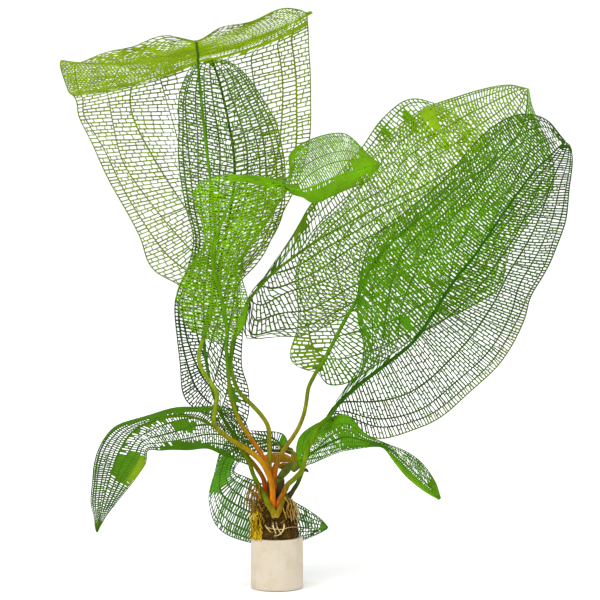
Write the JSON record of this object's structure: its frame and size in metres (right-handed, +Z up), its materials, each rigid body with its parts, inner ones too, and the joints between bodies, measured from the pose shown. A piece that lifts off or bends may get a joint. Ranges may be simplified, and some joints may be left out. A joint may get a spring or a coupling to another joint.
{
  "type": "madagascar lace plant",
  "caption": "Aquarium lace plant with broad net-veined leaves on slender stalks, rooted in a fibre plug in a round ceramic holder.",
  "frame": {"origin": "centre of the ceramic holder's flat underside", "axes": "+Z up along the holder's axis, -Y towards the side the leaves face, +X to the right seen from there"},
  "size_m": [0.2482, 0.0856, 0.2843],
  "materials": {
    "ceramic": "unglazed, chalky off-white",
    "plug_fibre": "dark brown matted fibre",
    "rhizome": "brown, lumpy, matt",
    "root_fibre": "loose yellow-brown root fibre",
    "stalk": "smooth, green above and orange at the crown",
    "blade": "open net of veins, green, slightly glossy"
  },
  "bodies": {
    "root": {"ceramic_holder": "ceramic", "fibre_plug": "plug_fibre", "rhizome": "rhizome", "root_mat": "root_fibre", "floating_leaf_stalk": "stalk", "floating_leaf_blade": "blade", "tall_leaf_stalk": "stalk", "tall_leaf_blade": "blade", "folded_leaf_stalk": "stalk", "folded_leaf_blade": "blade", "broad_leaf_stalk": "stalk", "broad_leaf_blade": "blade", "middle_leaf_stalk": "stalk", "middle_leaf_blade": "blade", "rear_leaf_stalk": "stalk", "rear_leaf_blade": "blade", "left_arching_leaf_stalk": "stalk", "left_arching_leaf_blade": "blade", "right_arching_leaf_stalk": "stalk", "right_arching_leaf_blade": "blade", "curled_leaf_stalk": "stalk", "curled_leaf_blade": "blade"}
  },
  "joints": []
}
